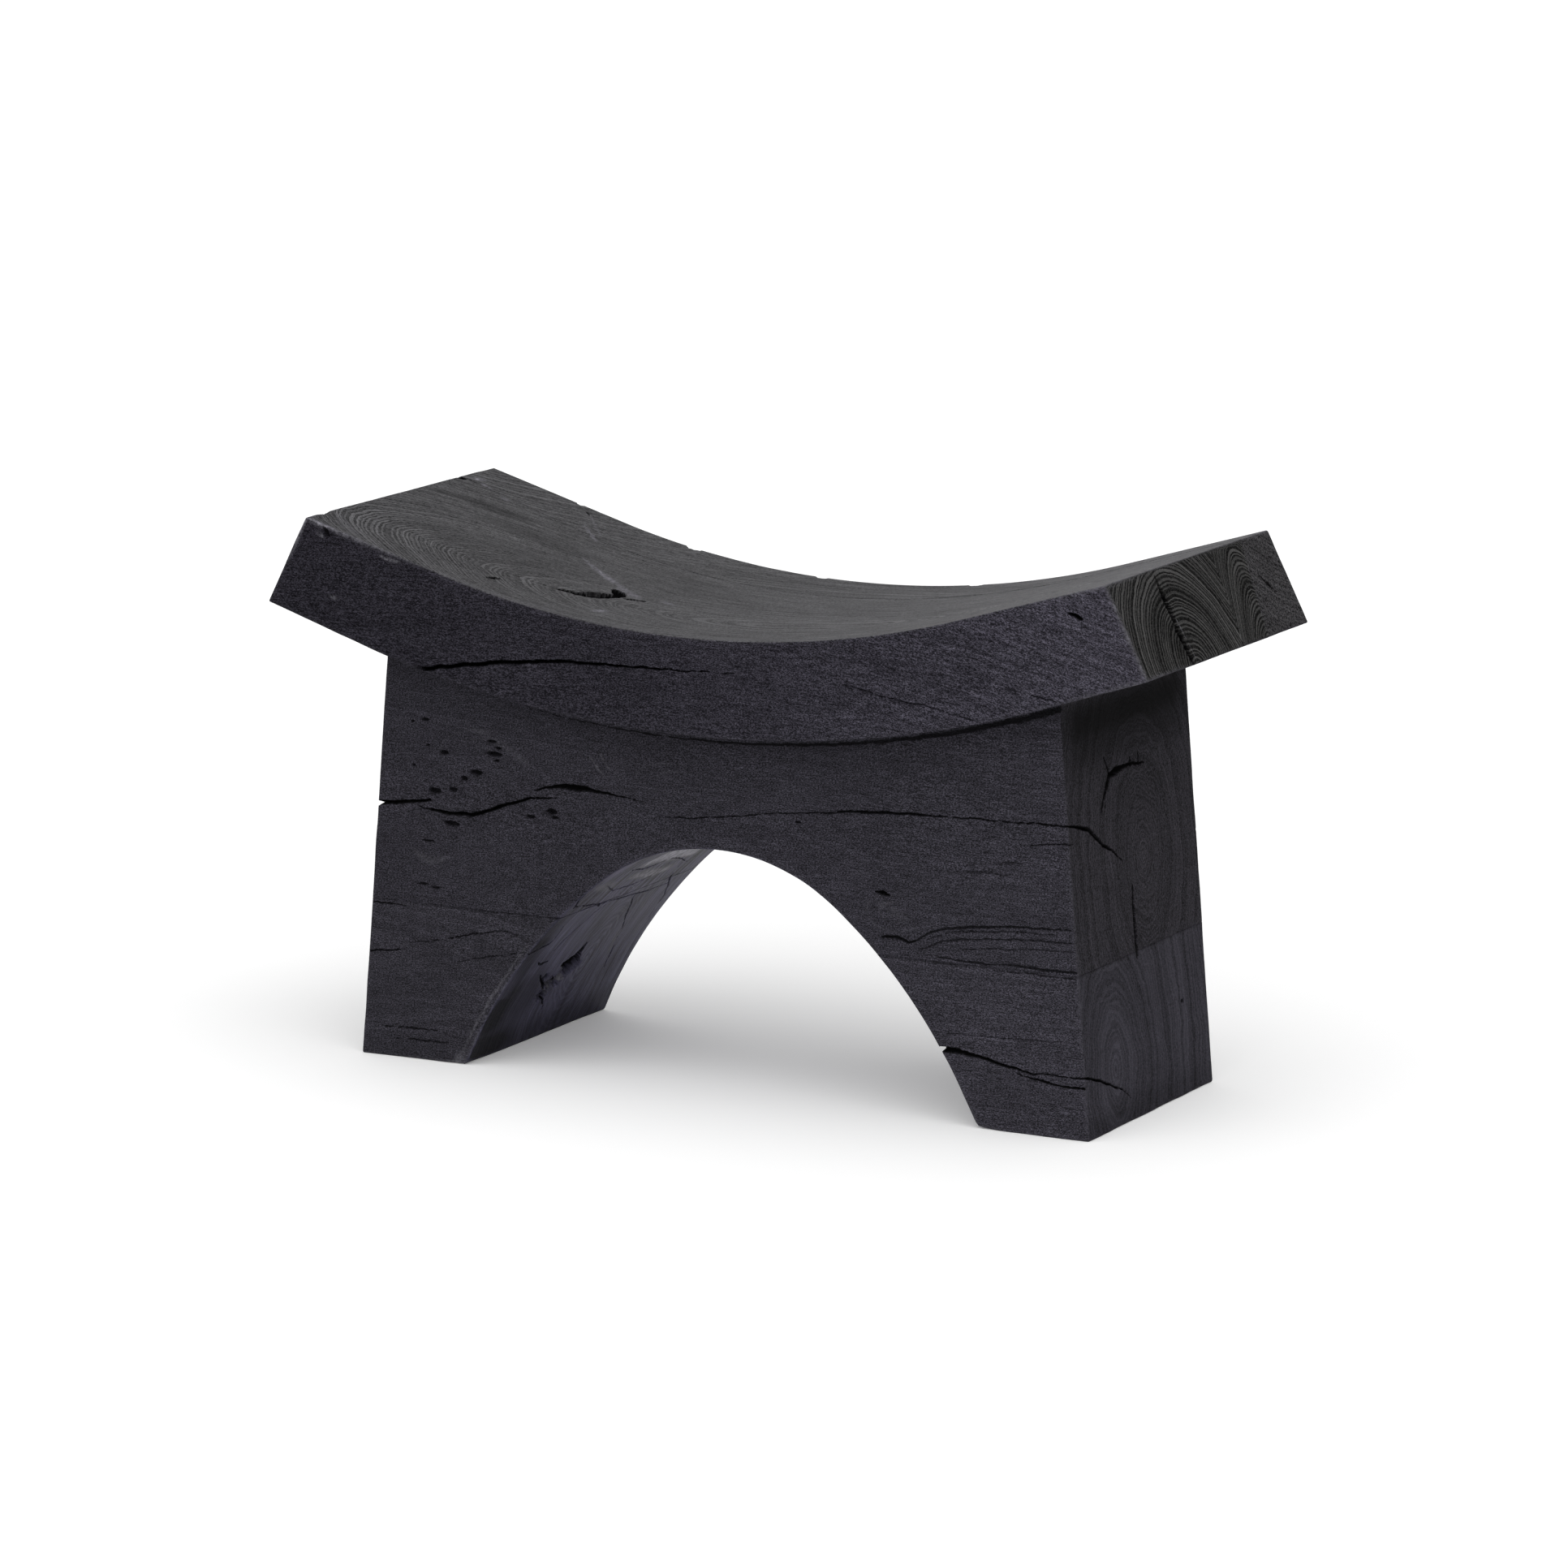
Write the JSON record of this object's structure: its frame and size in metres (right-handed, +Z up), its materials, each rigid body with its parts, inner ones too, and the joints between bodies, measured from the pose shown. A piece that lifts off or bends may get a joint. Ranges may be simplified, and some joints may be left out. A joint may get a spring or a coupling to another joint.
{
  "type": "stool",
  "caption": "Low stool of blackened reclaimed timber: a thick saddle seat on an arched base that flares to the floor.",
  "frame": {"origin": "on the floor, under the middle of the stool", "axes": "+X along the stool to its right end, +Y to its rear, +Z up"},
  "size_m": [0.6842, 0.264, 0.3899],
  "materials": {
    "blackened_timber": "charred black hardwood, wire-brushed and oiled, smoother on the seat",
    "dowel_wood": "bare planed hardwood"
  },
  "bodies": {
    "root": {"seat_main_stave": "blackened_timber", "seat_rear_stave": "blackened_timber", "arch_beam": "blackened_timber", "left_foot": "blackened_timber", "right_foot": "blackened_timber", "seat_dowel_front_1": "dowel_wood", "seat_dowel_front_2": "dowel_wood", "seat_dowel_front_3": "dowel_wood", "seat_dowel_rear_1": "dowel_wood", "seat_dowel_rear_2": "dowel_wood", "seat_dowel_rear_3": "dowel_wood", "stave_dowel_1": "dowel_wood", "stave_dowel_2": "dowel_wood", "stave_dowel_3": "dowel_wood", "stave_dowel_4": "dowel_wood", "left_foot_dowel_1": "dowel_wood", "left_foot_dowel_2": "dowel_wood", "left_foot_dowel_3": "dowel_wood", "left_foot_dowel_4": "dowel_wood", "right_foot_dowel_1": "dowel_wood", "right_foot_dowel_2": "dowel_wood", "right_foot_dowel_3": "dowel_wood", "right_foot_dowel_4": "dowel_wood"}
  },
  "joints": []
}
